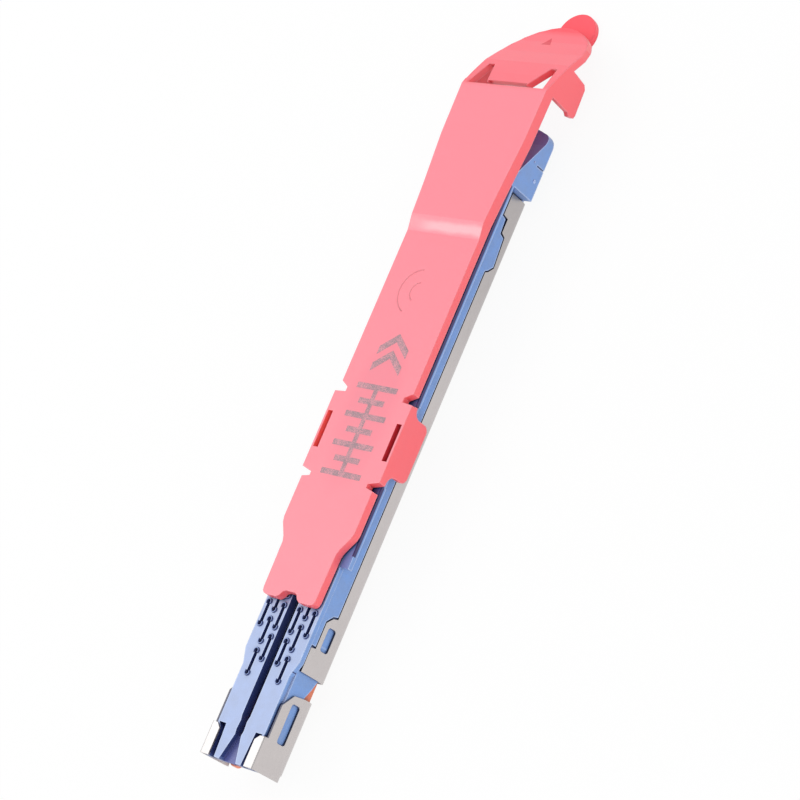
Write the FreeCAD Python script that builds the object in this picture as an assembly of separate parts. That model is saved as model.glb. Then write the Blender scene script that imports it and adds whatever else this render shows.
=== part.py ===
import FreeCAD, Part
import math
import os

# Reload for an endoscopic linear cutter: a plastic cartridge body in a sheet
# metal pan, with the firing sled, the staple drivers and the staples inside
# and a clip-on cap that keeps the staples in until the reload is used.
#
# All sizes are in millimetres. x runs from the proximal end of the pan to
# the nose, y across, z up from the underside of the pan. The finished
# shapes are moved once, at the end, to the frame of the part.

V = FreeCAD.Vector

# Running clearances
SLIDE_GAP = 0.06
SEAT_GAP = 0.02
CAP_GAP = 0.03
PAN_FIT = 0.04
EDGE_GAP = 0.20

# Staple layout
PITCH = 4.0
STATIONS = 15
FIRST_STAPLE_X = 10.55
CROWN = 2.75
WIRE = 0.20
ROW_INNER_Y = 1.30
ROW_GAP = 1.23
ROW_MIDDLE_Y = ROW_INNER_Y + ROW_GAP
ROW_OUTER_Y = ROW_MIDDLE_Y + ROW_GAP
STAGGER = PITCH / 2.0
ROWS_END_X = FIRST_STAPLE_X + PITCH * (STATIONS - 1) + STAGGER + CROWN

# Staple pockets
POCKET_HALF = 0.24
POCKET_END_GAP = 0.10

# Widths, from the outer row of pockets outwards
POCKET_WALL = 0.06
SHEET = 0.25
CORE_HALF = ROW_OUTER_Y + POCKET_HALF + POCKET_WALL
PAN_HALF = CORE_HALF + PAN_FIT + SHEET
SIDE_HALF = PAN_HALF + 0.04
DECK_HALF_PROXIMAL = CORE_HALF - 0.26
DECK_HALF_MIDDLE = SIDE_HALF + 0.06
LEDGE_HALF = PAN_HALF + 1.35

# Cartridge body
DECK_Z = 6.0
DECK_EDGE = 0.75
DECK_EDGE_Z = DECK_Z - DECK_EDGE
SHOULDER_X = (11.5, 13.4)
LEDGE_X = 25.4
NOSE_X = ROWS_END_X + 4.8
NOSE_LENGTH = 9.7
NOSE_TIP_X = NOSE_X + NOSE_LENGTH
NOSE_BOTTOM_Z = 1.40
HEEL_X = 0.50

# Pan
PAN_LENGTH = NOSE_X - 0.1
PAN_RADIUS = 1.15
PAN_END_RADIUS = 1.90
STRIP_Z = 2.60
WING_Z = DECK_Z - 0.95
WING_STEP_Z = DECK_Z - 1.75
WING_X = 15.7
STRIP_X = 20.0
WINDOW_1 = (3.95, 8.85, 2.72, 4.20)
WINDOW_2 = (15.75, 18.70, 2.10, 3.52)
WINDOW_CORNER = 0.35
PAN_GAP_X = (9.95, 12.56)
PAN_GAP_HALF = 2.45
PAN_HEEL = (0.9, 1.2)
WALL_DROP = 0.28
FLANGE_LENGTH = 3.95
FLANGE_INNER_Y = 2.90
FLANGE_LIFT = 0.30
FLANGE_BEND = 0.30
GROOVE_Y = (2.15, 2.45)
GROOVE_DEPTH = 0.80

# Knife slot
KNIFE_HALF = 0.65
KNIFE_START_X = 3.3
FUNNEL_DEPTH = 0.85
TUNNEL_END_X = NOSE_X - 1.1

# Staple drivers
DRIVER_LIFT = 3.40
DRIVER_REST_Z = DECK_Z - DRIVER_LIFT
STAPLE_TIP_Z = DECK_Z - 0.35
BLADE_HALF = 0.11
BLADE_LOW_Z = 1.70
BLADE_OVERHANG = 0.15
FOOT_TOP_Z = 2.05
FOOT_LOW_Z = 0.98
FOOT_LENGTH = 2.35
DOUBLE_FOOT_X = 1.30
SINGLE_FOOT_X = 0.20
SINGLE_FOOT_Y = 3.06
FOOT_INSET = 0.05
FOOT_CEILING_Z = FOOT_TOP_Z + DRIVER_LIFT + SLIDE_GAP
RAMP_GAP = 0.06

# Firing sled
RAMP_ANGLE = 20.0
RAMP_SLOPE = math.tan(math.radians(RAMP_ANGLE))
SLED_FLOOR_Z = SHEET + SEAT_GAP + 0.03
SLED_BASE_Z = FOOT_LOW_Z - 0.08
SLED_BASE_END_X = FIRST_STAPLE_X + 1.15
SLED_TOP_Z = FOOT_LOW_Z + DRIVER_LIFT - 0.08
SLED_CORE_HALF = 0.95
SLED_CORE_TOP_Z = 3.10
SLED_CORE_END_X = 9.0
SLED_BACK_X = 0.60
SLED_BULGE = 0.80
TAIL_HALF = 0.85
TAIL_END_X = 3.0
TAIL_Z = (DECK_Z - 2.05, DECK_Z - 1.30)
INNER_RAIL_Y = (ROW_INNER_Y + 0.32, ROW_MIDDLE_Y - 0.31)
OUTER_RAIL_Y = (SINGLE_FOOT_Y + 0.10, ROW_OUTER_Y - 0.20)
OUTER_RAIL_Z = 0.78
SLED_BASE_HALF = OUTER_RAIL_Y[0] + 0.18
SLED_BASE_EDGE = (0.60, 0.34)
ROOF_GAP = 0.10

# Retaining cap
CAP_TOP_Z = DECK_Z + 1.40
CAP_PLATE = 0.95
CAP_RIM = 0.60
CAP_RIM_HEIGHT = 1.15
CAP_RIM_Z = CAP_TOP_Z - CAP_RIM_HEIGHT
CAP_RIB = 0.30
CAP_RIB_X = (30.0, 70.0)
CAP_START_X = 19.8
CAP_NARROW_HALF = PAN_HALF
CAP_HALF = LEDGE_HALF + 0.05
CAP_FLARE_HALF = CAP_HALF + 1.0
CAP_WIDEN_X = 26.4
CAP_KINK_X = NOSE_TIP_X + 2.2
CAP_STEP = 0.45
CAP_STEP_X = (67.8, 69.9)
CAP_FRONT_Z = CAP_TOP_Z + CAP_STEP
CAP_NOTCHES = ((34.75, 35.0, 35.5, 35.95), (45.95, 46.1, 46.7, 47.35))
CAP_NOTCH_DEPTH = 1.15
CAP_LEG_HALF = CAP_HALF + 0.5
CAP_SLOT_X = (38.6, 43.4)
CAP_SLOT_Y = (0.28, 1.05)
LEG_BOTTOM_Z = 3.15
LEG_X = (37.4, 44.9)
LEG_CORNER = 0.9
LEG_FLARE = 1.15
LEG_POCKET = 1.5
FIN_HALF = KNIFE_HALF - 0.25
FIN_X = (22.0, 66.0)
FIN_DEPTH = 1.40
TONGUE_HALF = 3.0
TONGUE_GAP = 0.65
TONGUE_LENGTH = 3.8
TAB_X = CAP_KINK_X + 12.2
TAB_RADIUS = 2.85
TAB_TOP_Z = -0.50
TAB_THICKNESS = 0.80
TAB_WEB = (2.0, 0.9)

# Frame of the part: origin at the bottom centre of the bounding box
FRAME_SHIFT = V(
    -0.5 * (SLED_BACK_X - SLED_BULGE + TAB_X + TAB_RADIUS),
    0.0,
    TAB_THICKNESS - TAB_TOP_Z,
)


def box(x, y, z):
    """Block between pairs of x, y and z values."""
    return Part.makeBox(x[1] - x[0], y[1] - y[0], z[1] - z[0], V(x[0], y[0], z[0]))


def polygon(points):
    """Closed flat face through 3-D points."""
    return Part.Face(Part.makePolygon(points + points[:1]))


def side_plate(points, y):
    """Outline given as (x, z), extruded between two y values."""
    face = polygon([V(px, y[0], pz) for px, pz in points])
    return face.extrude(V(0, y[1] - y[0], 0))


def plan_plate(points, z):
    """Outline given as (x, y), extruded between two z values."""
    face = polygon([V(px, py, z[0]) for px, py in points])
    return face.extrude(V(0, 0, z[1] - z[0]))


def across(half_points):
    """Full outline from its y > 0 half."""
    return half_points + [(px, -py) for px, py in reversed(half_points) if py]


def mirrored(shape):
    """Copy on the other side of the middle plane."""
    return shape.mirror(V(0, 0, 0), V(0, 1, 0))


def both_sides(shapes):
    """Shapes and their mirrored copies."""
    return shapes + [mirrored(s) for s in shapes]


def join(shapes):
    """One cleaned solid from touching shapes."""
    return shapes[0].multiFuse(shapes[1:]).removeSplitter()


def rounded_slot(x0, x1, z0, z1, y):
    """Round-cornered hole through a side wall."""
    block = box((x0, x1), y, (z0, z1))
    upright = [e for e in block.Edges if abs(e.Vertexes[0].Y - e.Vertexes[1].Y) > 0.1]
    return block.makeFillet(WINDOW_CORNER, upright)


def station_x(number):
    """x of the first middle-row staple leg of a station, counted from 1."""
    return FIRST_STAPLE_X + PITCH * (number - 1)


def staple_rows(number):
    """Row centre and first leg x of every staple of a station, on one side."""
    start = station_x(number)
    rows = [(ROW_MIDDLE_Y, start), (ROW_INNER_Y, start + STAGGER)]
    if number > 1:
        rows.append((ROW_OUTER_Y, start - STAGGER + PITCH))
    return rows


# Cartridge body


def nose():
    """Wedge-shaped nose with a rounded tip, and the keel that fits the pan."""
    corner_x = NOSE_TIP_X - 2.6
    front_y = LEDGE_HALF - 1.4
    front_x = NOSE_TIP_X - 0.9
    z = NOSE_BOTTOM_Z
    side = V(corner_x, LEDGE_HALF, z)
    bend = V(corner_x + 1.15, LEDGE_HALF - 0.45, z)
    front = V(front_x, front_y, z)
    lines = [
        Part.LineSegment(V(NOSE_X, -LEDGE_HALF, z), V(NOSE_X, LEDGE_HALF, z)),
        Part.LineSegment(V(NOSE_X, LEDGE_HALF, z), side),
        Part.Arc(side, bend, front),
        Part.Arc(front, V(NOSE_TIP_X, 0, z), V(front_x, -front_y, z)),
        Part.Arc(V(front_x, -front_y, z), V(bend.x, -bend.y, z), V(side.x, -side.y, z)),
        Part.LineSegment(V(side.x, -side.y, z), V(NOSE_X, -LEDGE_HALF, z)),
    ]
    wire = Part.Wire([s.toShape() for s in lines])
    block = Part.Face(wire).extrude(V(0, 0, DECK_Z - z))
    profile = [
        (NOSE_X, z),
        (NOSE_X, DECK_Z),
        (NOSE_X + 1.2, DECK_Z),
        (NOSE_X + 6.9, 0.5 * (DECK_Z + z) - 0.7),
        (NOSE_TIP_X - 1.2, z + 1.0),
        (NOSE_TIP_X + 1.0, z + 0.4),
        (NOSE_TIP_X + 1.0, z),
    ]
    block = block.common(side_plate(profile, (-8, 8)))
    low = SHEET + SEAT_GAP
    half = PAN_HALF - PAN_RADIUS
    keel = side_plate(
        [
            (NOSE_X - 0.2, low),
            (NOSE_X + 3.0, low),
            (NOSE_X + 6.5, z + 0.05),
            (NOSE_X - 0.2, z + 0.05),
        ],
        (-half, half),
    )
    groove_x = NOSE_X + 4.0
    groove = box((groove_x, groove_x + 0.2), (LEDGE_HALF - 0.15, LEDGE_HALF + 1), (z - 1, z + 1.5))
    return join([block, keel]).cut(both_sides([groove]))


def core(x0, x1, radius):
    """Length of the body inside the pan, clear of the pan's bend radius."""
    r = radius - SHEET - PAN_FIT
    turn = r * math.sqrt(0.5)
    cy = PAN_HALF - radius
    section = [
        (cy, radius - r),
        (cy + turn, radius - turn),
        (CORE_HALF, radius),
        (CORE_HALF, DECK_EDGE_Z + 0.05),
    ]
    section = section + [(-py, pz) for py, pz in reversed(section)]
    return polygon([V(x0, py, pz) for py, pz in section]).extrude(V(x1 - x0, 0, 0))


def body_outer():
    """Outside of the body before the tunnels and pockets are cut."""
    deck = across(
        [
            (0, DECK_HALF_PROXIMAL),
            (SHOULDER_X[0], DECK_HALF_PROXIMAL),
            (SHOULDER_X[1], DECK_HALF_MIDDLE),
            (LEDGE_X, DECK_HALF_MIDDLE),
            (LEDGE_X, LEDGE_HALF),
            (NOSE_X + 0.5, LEDGE_HALF),
        ]
    )
    cores = [
        core(0, PAN_GAP_X[0], PAN_END_RADIUS),
        core(PAN_GAP_X[0], NOSE_X + 0.3, PAN_RADIUS),
    ]
    gap = EDGE_GAP
    dip = PAN_LENGTH - 10.0
    sides = side_plate(
        [
            (SHOULDER_X[1], DECK_EDGE_Z + 0.1),
            (SHOULDER_X[1], min(WING_Z + gap, DECK_EDGE_Z)),
            (WING_X + gap, min(WING_Z + gap, DECK_EDGE_Z)),
            (WING_X + gap, WING_STEP_Z + gap),
            (STRIP_X - 0.9, WING_STEP_Z + gap),
            (STRIP_X, STRIP_Z + 0.8 + gap),
            (STRIP_X + gap, STRIP_Z + gap),
            (dip - 0.2, STRIP_Z + gap),
            (dip + 0.05, STRIP_Z - 0.25),
            (dip + 0.85, STRIP_Z - 0.97),
            (dip + 4.6, STRIP_Z - 0.60),
            (dip + 4.85, STRIP_Z + gap),
            (dip + 6.7, STRIP_Z + 2 * gap),
            (dip + 6.9, STRIP_Z + 0.9 + gap),
            (NOSE_X + 0.1, STRIP_Z + 0.9 + gap),
            (NOSE_X + 0.1, DECK_EDGE_Z + 0.1),
        ],
        (-SIDE_HALF, SIDE_HALF),
    )
    parts = [plan_plate(deck, (DECK_EDGE_Z, DECK_Z)), sides, nose()]
    return join(parts + cores)


def body_edges():
    """Cuts on the outside: flange grooves, leg pockets, heel and the side gap."""
    end = FLANGE_LENGTH + 0.2
    groove = plan_plate(
        [
            (-1, GROOVE_Y[0]),
            (end, GROOVE_Y[1]),
            (end, FLANGE_INNER_Y + 0.65),
            (FLANGE_LENGTH - 0.5, FLANGE_INNER_Y + 0.1),
            (-1, FLANGE_INNER_Y + 0.05),
        ],
        (DECK_Z - GROOVE_DEPTH, DECK_Z + 1),
    )
    x = (LEG_X[0] - LEG_POCKET, LEG_X[1] + LEG_POCKET)
    leg = box(x, (CAP_LEG_HALF - CAP_RIM - 0.1, 8), (DECK_EDGE_Z - 1, DECK_Z + 1))
    gap = side_plate(
        [
            (PAN_GAP_X[0], 0),
            (PAN_GAP_X[0], STRIP_Z - 0.1),
            (PAN_GAP_X[0] + 1.4, STRIP_Z - 0.8),
            (PAN_GAP_X[1], PAN_RADIUS + 0.2),
            (PAN_GAP_X[1], 0),
        ],
        (PAN_GAP_HALF, 8),
    )
    heel = box((-1, HEEL_X), (0, 8), (-1, DECK_Z - FUNNEL_DEPTH - 0.5))
    return both_sides([groove, leg, gap, heel])


def knife_slot():
    """Slot for the knife, with its waisted mouth and shallow funnel."""
    slot = plan_plate(
        across(
            [
                (KNIFE_START_X, 0.50),
                (3.9, 0.60),
                (5.0, 0.50),
                (5.7, KNIFE_HALF),
                (TUNNEL_END_X, KNIFE_HALF),
            ]
        ),
        (-1, DECK_Z + 1),
    )
    depth = (DECK_Z - FUNNEL_DEPTH, DECK_Z + 1)
    funnel = plan_plate(across([(-1, 1.62), (KNIFE_START_X + 0.1, 0.45)]), depth)
    return [slot, funnel]


def sled_tunnel():
    """Room for the sled: base, middle part and the four ramp rails."""
    x = (-2, TUNNEL_END_X)
    base = SLED_BASE_HALF + SLIDE_GAP
    middle = SLED_CORE_HALF + SLIDE_GAP
    tail = TAIL_HALF + SLIDE_GAP
    cuts = [
        box(x, (-base, base), (0, SLED_BASE_Z + ROOF_GAP)),
        box(x, (-middle, middle), (0, SLED_CORE_TOP_Z + ROOF_GAP)),
        box(x, (-tail, tail), (0, TAIL_Z[1] + ROOF_GAP)),
    ]
    rails = []
    for low, high in (INNER_RAIL_Y, OUTER_RAIL_Y):
        rails.append(box(x, (low - SLIDE_GAP, high + SLIDE_GAP), (0, SLED_TOP_Z + ROOF_GAP)))
    return cuts + both_sides(rails)


def pocket_cuts(number):
    """Pockets of one station on one side: blade slots and driver feet."""
    g = SLIDE_GAP
    cuts = []
    for row_y, start in staple_rows(number):
        end = BLADE_OVERHANG + POCKET_END_GAP
        x = (start - end, start + CROWN + end)
        y = (row_y - POCKET_HALF, row_y + POCKET_HALF)
        cuts.append(box(x, y, (BLADE_LOW_Z - ROOF_GAP, DECK_Z + 0.5)))
    for x, y in driver_feet(number):
        cuts.append(box((x[0] - g, x[1] + g), (y[0] - g, y[1] + g), (0, FOOT_CEILING_Z)))
    return cuts


def cartridge_body():
    """The moulded body with every tunnel and pocket."""
    shape = body_outer().cut(body_edges() + knife_slot() + sled_tunnel())
    pockets = []
    for number in range(1, STATIONS + 1):
        pockets = pockets + pocket_cuts(number)
    return shape.cut(both_sides(pockets))


# Pan


def channel(x0, x1, radius):
    """Length of bent sheet channel with rounded lower corners."""
    turn = math.sqrt(0.5)
    loops = []
    for inset in (0.0, SHEET):
        half = PAN_HALF - inset
        r = radius - inset
        low = inset
        top = DECK_Z + FLANGE_LIFT + inset
        cy = half - r
        cz = low + r
        right = V(x0, cy + r * turn, cz - r * turn)
        left = V(x0, -cy - r * turn, cz - r * turn)
        parts = [
            Part.LineSegment(V(x0, half, top), V(x0, half, cz)),
            Part.Arc(V(x0, half, cz), right, V(x0, cy, low)),
            Part.LineSegment(V(x0, cy, low), V(x0, -cy, low)),
            Part.Arc(V(x0, -cy, low), left, V(x0, -half, cz)),
            Part.LineSegment(V(x0, -half, cz), V(x0, -half, top)),
            Part.LineSegment(V(x0, -half, top), V(x0, half, top)),
        ]
        wire = Part.Wire([s.toShape() for s in parts])
        loops.append(Part.Face(wire).extrude(V(x1 - x0, 0, 0)))
    return loops[0].cut(loops[1])


def pan_side_profile():
    """Outline of both pan walls seen from the side."""
    top = DECK_Z + FLANGE_LIFT
    wall = DECK_Z - WALL_DROP
    gap = PAN_GAP_X
    dip = PAN_LENGTH - 10.0
    return [
        (PAN_HEEL[0], -1),
        (PAN_HEEL[0], PAN_HEEL[1]),
        (0, PAN_HEEL[1]),
        (0, top),
        (FLANGE_LENGTH, top),
        (FLANGE_LENGTH + 0.05, wall),
        (gap[0] - 1.85, wall),
        (gap[0] - 0.25, wall - 1.35),
        (gap[0], wall - 3.30),
        (gap[0], SHEET),
        (gap[1], SHEET),
        (gap[1], WING_Z),
        (WING_X - 0.1, WING_Z),
        (WING_X, WING_STEP_Z),
        (STRIP_X - 1.0, WING_STEP_Z),
        (STRIP_X - 0.2, STRIP_Z + 0.8),
        (STRIP_X, STRIP_Z),
        (dip - 0.3, STRIP_Z),
        (dip - 0.05, STRIP_Z - 0.45),
        (dip + 0.8, STRIP_Z - 1.17),
        (dip + 4.8, STRIP_Z - 0.80),
        (dip + 5.1, STRIP_Z - 0.05),
        (dip + 6.95, STRIP_Z - 0.05),
        (dip + 7.1, STRIP_Z + 0.9),
        (PAN_LENGTH, STRIP_Z + 0.9),
        (PAN_LENGTH, -1),
    ]


def flange():
    """Flange folded in over the deck's edge, with a chamfered front corner."""
    top = DECK_Z + FLANGE_LIFT
    plate = plan_plate(
        [
            (0, FLANGE_INNER_Y),
            (FLANGE_LENGTH - 0.6, FLANGE_INNER_Y),
            (FLANGE_LENGTH, FLANGE_INNER_Y + 0.6),
            (FLANGE_LENGTH, PAN_HALF),
            (0, PAN_HALF),
        ],
        (top - SHEET, top),
    )
    bend = []
    for edge in plate.Edges:
        reach = edge.BoundBox
        if reach.YMin > PAN_HALF - 0.01 and reach.ZMin > top - 0.01:
            bend.append(edge)
    return plate.makeFillet(min(FLANGE_BEND, 0.95 * SHEET), bend)


def pan():
    """Folded sheet pan with wings, windows, flanges and a slotted floor."""
    shape = join(
        [
            channel(0, PAN_GAP_X[0], PAN_END_RADIUS),
            channel(PAN_GAP_X[0], PAN_LENGTH, PAN_RADIUS),
        ]
    )
    shape = shape.common(side_plate(pan_side_profile(), (-8, 8)))
    top = DECK_Z + FLANGE_LIFT
    wall_top = box((-1, FLANGE_LENGTH), (PAN_HALF - SHEET, 8), (top - SHEET, top + 1))
    shape = shape.cut(both_sides([wall_top]))
    shape = join([shape] + both_sides([flange()]))
    cuts = [box(PAN_GAP_X, (PAN_GAP_HALF, 8), (-1, 8))]
    for x0, x1, z0, z1 in (WINDOW_1, WINDOW_2):
        cuts.append(rounded_slot(x0, x1, z0, z1, (PAN_HALF - 1, PAN_HALF + 1)))
    half = KNIFE_HALF + 0.05
    centre = box((5.0, PAN_LENGTH - 5.0), (-half, half), (-1, 1))
    upright = [e for e in centre.Edges if e.BoundBox.ZLength > 1.5]
    return shape.cut(both_sides(cuts) + [centre.makeFillet(0.95 * half, upright)])


# Firing sled


def ramp_x(z):
    """x at which an inner ramp reaches a height, just clear of the first cams."""
    foot_end = station_x(1) + DOUBLE_FOOT_X + FOOT_LENGTH
    return foot_end - (z - FOOT_LOW_Z + RAMP_GAP) / RAMP_SLOPE


def rail(y, low, shift):
    """One wedge rail; the outer pair is shifted to suit the single drivers."""
    blunt_z = low + 0.12
    return side_plate(
        [
            (SLED_BACK_X, low),
            (SLED_BACK_X, SLED_TOP_Z - 0.3),
            (SLED_BACK_X + 0.3, SLED_TOP_Z),
            (ramp_x(SLED_TOP_Z) + shift, SLED_TOP_Z),
            (ramp_x(blunt_z) + shift, blunt_z),
            (ramp_x(blunt_z) + shift, low),
        ],
        y,
    )


def tail():
    """Round-backed tail of the sled and the post that carries it."""
    h = TAIL_HALF
    x0 = SLED_BACK_X
    x1 = TAIL_END_X
    z = TAIL_Z[0]
    lines = [
        Part.Arc(V(x0, -h, z), V(x0 - SLED_BULGE, 0, z), V(x0, h, z)),
        Part.LineSegment(V(x0, h, z), V(x1, h, z)),
        Part.LineSegment(V(x1, h, z), V(x1, -h, z)),
        Part.LineSegment(V(x1, -h, z), V(x0, -h, z)),
    ]
    wire = Part.Wire([s.toShape() for s in lines])
    top = Part.Face(wire).extrude(V(0, 0, TAIL_Z[1] - z))
    post = box((x0, x1), (-h, h), (SLED_CORE_TOP_Z - 0.1, z + 0.1))
    return [top, post]


def sled():
    """Sled with four ramps on a flat base, a middle part and a round tail."""
    section = [
        (SLED_BASE_HALF - SLED_BASE_EDGE[0], SLED_FLOOR_Z),
        (SLED_BASE_HALF, SLED_FLOOR_Z + SLED_BASE_EDGE[1]),
        (SLED_BASE_HALF, SLED_BASE_Z),
    ]
    section = section + [(-py, pz) for py, pz in reversed(section)]
    base = polygon([V(SLED_BACK_X, py, pz) for py, pz in section])
    base = base.extrude(V(SLED_BASE_END_X - SLED_BACK_X, 0, 0))
    h = SLED_CORE_HALF
    x1 = SLED_CORE_END_X
    plan = across([(SLED_BACK_X, h), (x1 - 1.5, h), (x1, 0.35)])
    middle = plan_plate(plan, (SLED_FLOOR_Z, SLED_CORE_TOP_Z))
    rails = [
        rail(INNER_RAIL_Y, SLED_FLOOR_Z, 0.0),
        rail(OUTER_RAIL_Y, OUTER_RAIL_Z, outer_ramp_shift()),
    ]
    return join([base, middle] + tail() + both_sides(rails))


def outer_ramp_shift():
    """How far the outer ramps lead, so both driver kinds rise together."""
    return PITCH - STAGGER + SINGLE_FOOT_X - DOUBLE_FOOT_X


# Staple drivers


def driver_feet(number):
    """x and y extents of the driver feet of a station, on one side."""
    start = station_x(number) + DOUBLE_FOOT_X
    y = (ROW_INNER_Y + FOOT_INSET, ROW_MIDDLE_Y - FOOT_INSET)
    feet = [((start, start + FOOT_LENGTH), y)]
    if number > 1:
        start = station_x(number) - STAGGER + PITCH + SINGLE_FOOT_X
        y = (SINGLE_FOOT_Y, ROW_OUTER_Y - FOOT_INSET)
        feet.append(((start, start + FOOT_LENGTH), y))
    return feet


def foot(x, y):
    """Driver foot with the sloped cam face that rides up a sled ramp."""
    length = x[1] - x[0]
    return side_plate(
        [
            (x[0], FOOT_LOW_Z + length * RAMP_SLOPE),
            (x[0], FOOT_TOP_Z),
            (x[1], FOOT_TOP_Z),
            (x[1], FOOT_LOW_Z),
        ],
        y,
    )


def blade(row_y, start):
    """Thin upright of a driver, which carries the staple crown."""
    return box(
        (start - BLADE_OVERHANG, start + CROWN + BLADE_OVERHANG),
        (row_y - BLADE_HALF, row_y + BLADE_HALF),
        (BLADE_LOW_Z, DRIVER_REST_Z),
    )


def drivers(number):
    """Double drivers for the two inner rows and singles for the outer row."""
    rows = staple_rows(number)
    feet = [foot(x, y) for x, y in driver_feet(number)]
    double = join([feet[0], blade(*rows[0]), blade(*rows[1])])
    one_side = [double]
    if number > 1:
        one_side.append(join([feet[1], blade(*rows[2])]))
    return Part.makeCompound(both_sides(one_side))


# Staples


def staple(row_y, start):
    """U-shaped wire staple with chisel tips, standing on its driver."""
    w = WIRE
    low = DRIVER_REST_Z + SEAT_GAP
    x0 = start - 0.5 * w
    x1 = start + CROWN + 0.5 * w
    top = STAPLE_TIP_Z
    tip = 0.6 * w
    return side_plate(
        [
            (x0, low),
            (x0, top),
            (x0 + w, top - tip),
            (x0 + w, low + w),
            (x1 - w, low + w),
            (x1 - w, top - tip),
            (x1, top),
            (x1, low),
        ],
        (row_y - 0.5 * w, row_y + 0.5 * w),
    )


def staples(number):
    """All staples of one station."""
    one_side = [staple(row_y, start) for row_y, start in staple_rows(number)]
    return Part.makeCompound(both_sides(one_side))


# Retaining cap


def cap_outline():
    """Half plan outline of the cap, from the back notch to the front end."""
    first, second = CAP_NOTCHES
    half = CAP_HALF
    inner = CAP_HALF - CAP_NOTCH_DEPTH
    narrow = CAP_NARROW_HALF
    start = CAP_START_X
    widen = CAP_WIDEN_X
    flare = CAP_FLARE_HALF
    k = CAP_KINK_X
    return [
        (start + 1.0, 0.7),
        (start + 0.85, 1.1),
        (start + 0.3, 1.45),
        (start, 1.9),
        (start, narrow - 0.8),
        (start + 0.1, narrow - 0.45),
        (start + 0.35, narrow - 0.2),
        (start + 0.8, narrow - 0.1),
        (widen, narrow),
        (widen + 0.7, narrow + 0.25),
        (widen + 2.3, half - 0.2),
        (widen + 3.0, half),
        (first[0], half),
        (first[1], inner),
        (first[2], inner),
        (first[3], CAP_LEG_HALF),
        (second[0], CAP_LEG_HALF),
        (second[1], inner),
        (second[2], inner),
        (second[3], half),
        (k - 18.0, half),
        (k - 14.0, half + 0.25),
        (k - 7.0, flare - 0.15),
        (k, flare),
        (k + 4.5, flare),
        (k + 6.7, flare - 0.25),
        (k + 8.2, flare - 0.75),
        (k + 9.6, flare - 1.65),
        (k + 10.8, flare - 3.1),
        (k + 11.5, flare - 4.7),
        (k + 11.8, flare - 5.9),
    ]


def cap_top():
    """Side view of the cap's upper surface, as (x, z) points."""
    z = CAP_FRONT_Z
    k = CAP_KINK_X
    return [
        (CAP_START_X - 1.0, CAP_TOP_Z),
        (CAP_STEP_X[0], CAP_TOP_Z),
        (CAP_STEP_X[0] + 0.5, CAP_TOP_Z + 0.1),
        (CAP_STEP_X[1] - 0.5, z - 0.1),
        (CAP_STEP_X[1], z),
        (k, z),
        (k + 2.4, z - 1.1),
        (k + 4.7, z - 2.3),
        (k + 7.0, z - 3.9),
        (k + 9.2, z - 5.2),
        (k + 11.2, z - 6.05),
        (k + 13.2, z - 6.6),
    ]


def lowered(points, depth):
    """Points moved square to the line through them, downwards."""
    moved = []
    last = len(points) - 1
    for i, (px, pz) in enumerate(points):
        before = points[max(i - 1, 0)]
        after = points[min(i + 1, last)]
        dx = after[0] - before[0]
        dz = after[1] - before[1]
        size = math.hypot(dx, dz)
        moved.append((px + depth * dz / size, pz - depth * dx / size))
    return moved


def cap_band(start, depth):
    """Layer of the cap between two depths below its upper surface."""
    upper = lowered(cap_top(), start)
    lower = lowered(cap_top(), depth)
    return side_plate(upper + lower[::-1], (-9, 9))


def rim_band():
    """Side view of the rim: from the upper surface to one straight lower edge."""
    end = CAP_KINK_X + 0.8
    upper = [p for p in cap_top() if p[0] < end]
    band = upper + [(end, CAP_FRONT_Z - 0.3), (end, CAP_RIM_Z), (upper[0][0], CAP_RIM_Z)]
    return side_plate(band, (-9, 9))


def plan_face(inset):
    """Plan outline of the cap, drawn in by a rim width."""
    face = polygon([V(px, py, 0) for px, py in across(cap_outline())])
    if inset:
        face = face.makeOffset2D(-inset)
    return face


def cap_leg():
    """Side leg with rounded lower corners, flared into the plate."""
    y = CAP_LEG_HALF
    turn = math.sqrt(0.5)
    x0, x1 = LEG_X
    r = LEG_CORNER
    f = LEG_FLARE
    low = LEG_BOTTOM_Z
    top = CAP_RIM_Z

    def p(px, pz):
        return V(px, y, pz)

    lines = [
        Part.LineSegment(p(x0 - f, top + 0.5), p(x0 - f, top)),
        Part.Arc(p(x0 - f, top), p(x0 - f + f * turn, top - f + f * turn), p(x0, top - f)),
        Part.LineSegment(p(x0, top - f), p(x0, low + r)),
        Part.Arc(p(x0, low + r), p(x0 + r - r * turn, low + r - r * turn), p(x0 + r, low)),
        Part.LineSegment(p(x0 + r, low), p(x1 - r, low)),
        Part.Arc(p(x1 - r, low), p(x1 - r + r * turn, low + r - r * turn), p(x1, low + r)),
        Part.LineSegment(p(x1, low + r), p(x1, top - f)),
        Part.Arc(p(x1, top - f), p(x1 + f - f * turn, top - f + f * turn), p(x1 + f, top)),
        Part.LineSegment(p(x1 + f, top), p(x1 + f, top + 0.5)),
        Part.LineSegment(p(x1 + f, top + 0.5), p(x0 - f, top + 0.5)),
    ]
    wire = Part.Wire([s.toShape() for s in lines])
    return Part.Face(wire).extrude(V(0, -CAP_RIM, 0))


def front_leg():
    """Hooked leg under each front rail."""
    x = CAP_KINK_X
    z = CAP_FRONT_Z
    return side_plate(
        [
            (x - 0.05, z - 0.5),
            (x - 0.20, z - 5.0),
            (x - 0.55, z - 5.5),
            (x - 0.30, z - 6.45),
            (x + 0.15, z - 6.6),
            (x + 3.65, z - 6.45),
            (x + 4.15, z - 6.0),
            (x + 4.55, z - 2.9),
            (x + 2.5, z - 1.6),
        ],
        (CAP_FLARE_HALF - CAP_RIM, CAP_FLARE_HALF),
    )


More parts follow.
